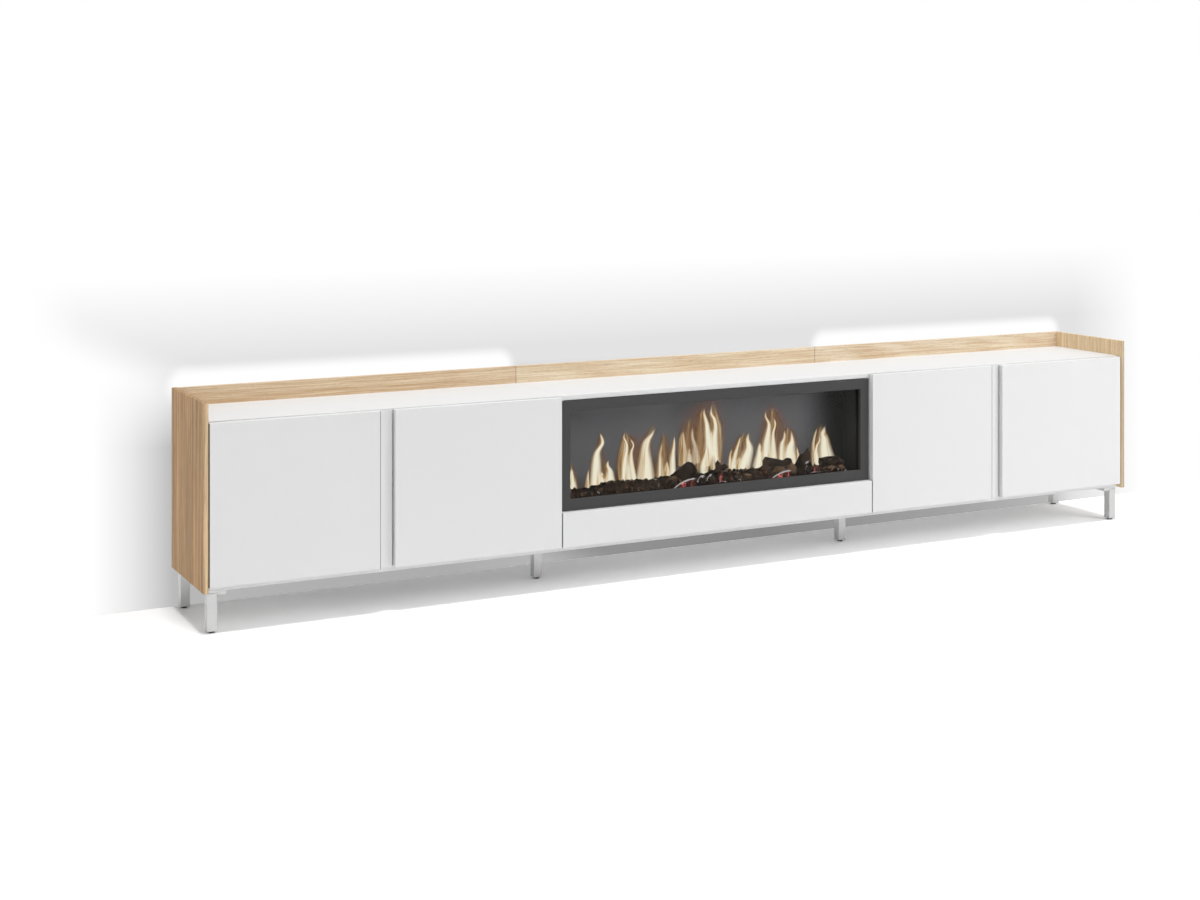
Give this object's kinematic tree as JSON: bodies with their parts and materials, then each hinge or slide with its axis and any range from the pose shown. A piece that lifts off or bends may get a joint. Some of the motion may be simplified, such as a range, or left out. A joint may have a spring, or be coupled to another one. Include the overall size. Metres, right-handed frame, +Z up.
{
  "type": "low television unit with electric fireplace",
  "caption": "Long low television unit on square metal legs: oak ends and upstand, white doors with finger pulls, an electric fireplace over a drop-down flap.",
  "frame": {"origin": "middle of the bounding box at floor level, under the glides", "axes": "+X along the length towards the right end as seen from the front, +Y from the front to the back, +Z up"},
  "size_m": [3.6, 0.384, 0.694],
  "materials": {
    "oak": "light oak veneer, satin",
    "white_board": "white melamine-faced board, matt",
    "white_lacquer": "white lacquered board, silk matt",
    "back_sheet": "thin white hardboard",
    "grey_steel": "light grey satin coated steel",
    "hinge_nickel": "nickel plated",
    "black_plastic": "moulded",
    "dark_trim": "dark grey powder coat",
    "dark_casing": "matt black coated sheet",
    "glass": "clear",
    "flame_screen": "smoked, half-mirrored",
    "ember": "moulded resin, painted as embers and burnt logs",
    "bright_foil": "polished",
    "motor_steel": "plated can",
    "light_strip": "opal diffuser, lit"
  },
  "bodies": {
    "cabinet": {"side_panel_left": "oak", "side_panel_right": "oak", "upstand_left": "oak", "upstand_centre": "oak", "upstand_right": "oak", "top_board_left": "white_board", "top_board_centre": "white_board", "top_board_right": "white_board", "bottom_board_left": "white_board", "bottom_board_centre": "white_board", "bottom_board_right": "white_board", "gable_left": "white_board", "gable_centre_left": "white_board", "gable_centre_right": "white_board", "gable_right": "white_board", "back_panel_left": "back_sheet", "back_panel_centre": "back_sheet", "back_panel_right": "back_sheet", "shelf_left": "white_board", "shelf_right": "white_board", "hinge_1_upper": "hinge_nickel", "hinge_1_lower": "hinge_nickel", "hinge_2_upper": "hinge_nickel", "hinge_2_lower": "hinge_nickel", "hinge_3_upper": "hinge_nickel", "hinge_3_lower": "hinge_nickel", "hinge_4_upper": "hinge_nickel", "hinge_4_lower": "hinge_nickel", "flap_hinge_left": "hinge_nickel", "flap_hinge_right": "hinge_nickel", "fire_shelf": "white_board", "fire_frame": "dark_trim", "fire_glass": "glass", "fire_casing": "dark_casing", "flame_screen": "flame_screen", "ember_bed": "ember", "flicker_motor": "motor_steel", "fire_light_bar": "light_strip", "light_strip_left": "light_strip", "light_strip_right": "light_strip", "leg_front_left": "grey_steel", "leg_back_left": "grey_steel", "leg_middle_left": "grey_steel", "leg_middle_right": "grey_steel", "leg_front_right": "grey_steel", "leg_back_right": "grey_steel"},
    "door_1": {"door_1": "white_lacquer", "finger_pull_left": "white_lacquer"},
    "door_2": {"door_2": "white_lacquer"},
    "door_3": {"door_3": "white_lacquer", "finger_pull_right": "white_lacquer"},
    "door_4": {"door_4": "white_lacquer"},
    "flap": {"flap": "white_lacquer"},
    "flicker_rod": {"flicker_rod": "bright_foil"},
    "glide_front_left": {"glide_front_left": "black_plastic"},
    "glide_back_left": {"glide_back_left": "black_plastic"},
    "glide_middle_left": {"glide_middle_left": "black_plastic"},
    "glide_middle_right": {"glide_middle_right": "black_plastic"},
    "glide_front_right": {"glide_front_right": "black_plastic"},
    "glide_back_right": {"glide_back_right": "black_plastic"}
  },
  "joints": [
    {"name": "door_1_hinge", "type": "hinge", "parent": "cabinet", "child": "door_1", "pos_m": [-1.78, -0.192, 0.142], "axis": [0, 0, -1], "range_deg": [0, 105]},
    {"name": "door_2_hinge", "type": "hinge", "parent": "cabinet", "child": "door_2", "pos_m": [-0.617, -0.192, 0.142], "axis": [0, 0, 1], "range_deg": [0, 105]},
    {"name": "door_3_hinge", "type": "hinge", "parent": "cabinet", "child": "door_3", "pos_m": [0.617, -0.192, 0.142], "axis": [0, 0, -1], "range_deg": [0, 105]},
    {"name": "door_4_hinge", "type": "hinge", "parent": "cabinet", "child": "door_4", "pos_m": [1.78, -0.192, 0.142], "axis": [0, 0, 1], "range_deg": [0, 105]},
    {"name": "flap_hinge", "type": "hinge", "parent": "cabinet", "child": "flap", "pos_m": [0, -0.17, 0.141], "axis": [1, 0, 0], "range_deg": [0, 90]},
    {"name": "flicker_rod_spin", "type": "hinge", "parent": "cabinet", "child": "flicker_rod", "pos_m": [0, -0.0237, 0.3158], "axis": [1, 0, 0], "continuous": true},
    {"name": "glide_front_left_screw", "type": "slide", "parent": "cabinet", "child": "glide_front_left", "axis": [0, 0, -1], "range_m": [0, 0.01]},
    {"name": "glide_back_left_screw", "type": "slide", "parent": "cabinet", "child": "glide_back_left", "axis": [0, 0, -1], "range_m": [0, 0.01]},
    {"name": "glide_middle_left_screw", "type": "slide", "parent": "cabinet", "child": "glide_middle_left", "axis": [0, 0, -1], "range_m": [0, 0.01]},
    {"name": "glide_middle_right_screw", "type": "slide", "parent": "cabinet", "child": "glide_middle_right", "axis": [0, 0, -1], "range_m": [0, 0.01]},
    {"name": "glide_front_right_screw", "type": "slide", "parent": "cabinet", "child": "glide_front_right", "axis": [0, 0, -1], "range_m": [0, 0.01]},
    {"name": "glide_back_right_screw", "type": "slide", "parent": "cabinet", "child": "glide_back_right", "axis": [0, 0, -1], "range_m": [0, 0.01]}
  ]
}
